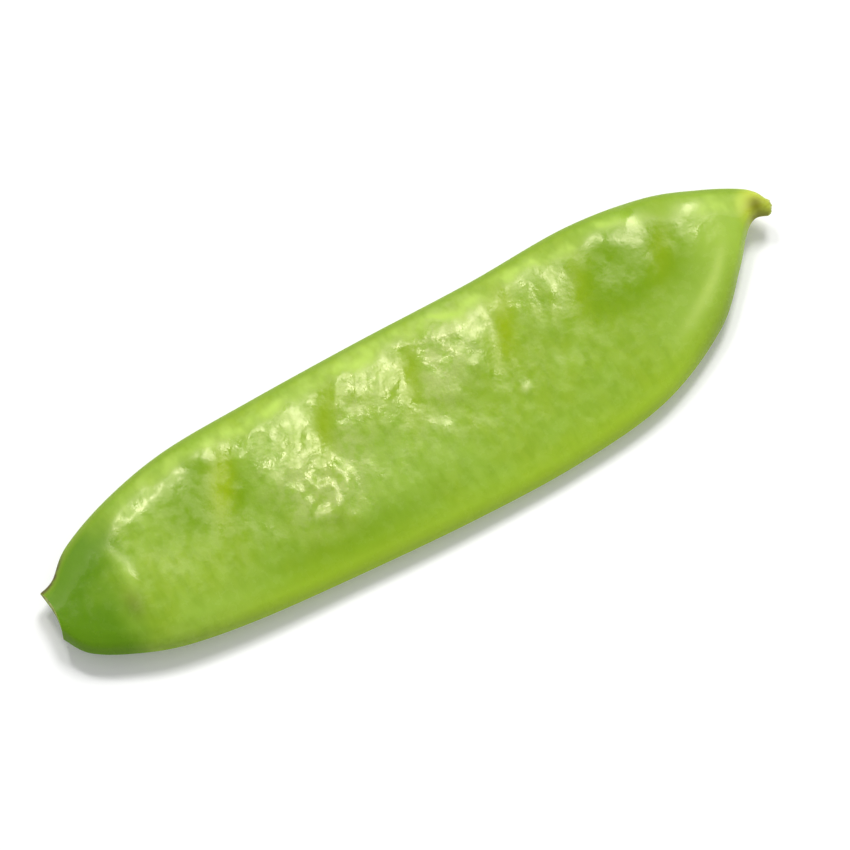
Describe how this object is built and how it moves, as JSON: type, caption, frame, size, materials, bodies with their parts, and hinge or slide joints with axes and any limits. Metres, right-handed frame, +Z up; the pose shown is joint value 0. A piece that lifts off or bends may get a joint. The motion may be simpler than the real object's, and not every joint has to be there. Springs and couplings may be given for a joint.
{
  "type": "snow pea pod",
  "caption": "Flat green snow pea pod, topped and tailed: a long curved pod with a seam edge, a back edge, seed bumps, a cut stem end and a small dried beak.",
  "frame": {"origin": "on the table, under the middle of the pod's box", "axes": "+X from the stem cut to the beak, +Y towards the seam edge that carries the seeds, +Z up out of the upper face"},
  "size_m": [0.0844, 0.0226, 0.0045],
  "materials": {
    "pod_skin": "waxy, half-glossy fresh green plant skin, paler and yellower at both edges, brown at the dried beak and the cut"
  },
  "bodies": {
    "root": {"snow_pea_pod": "pod_skin"}
  },
  "joints": []
}
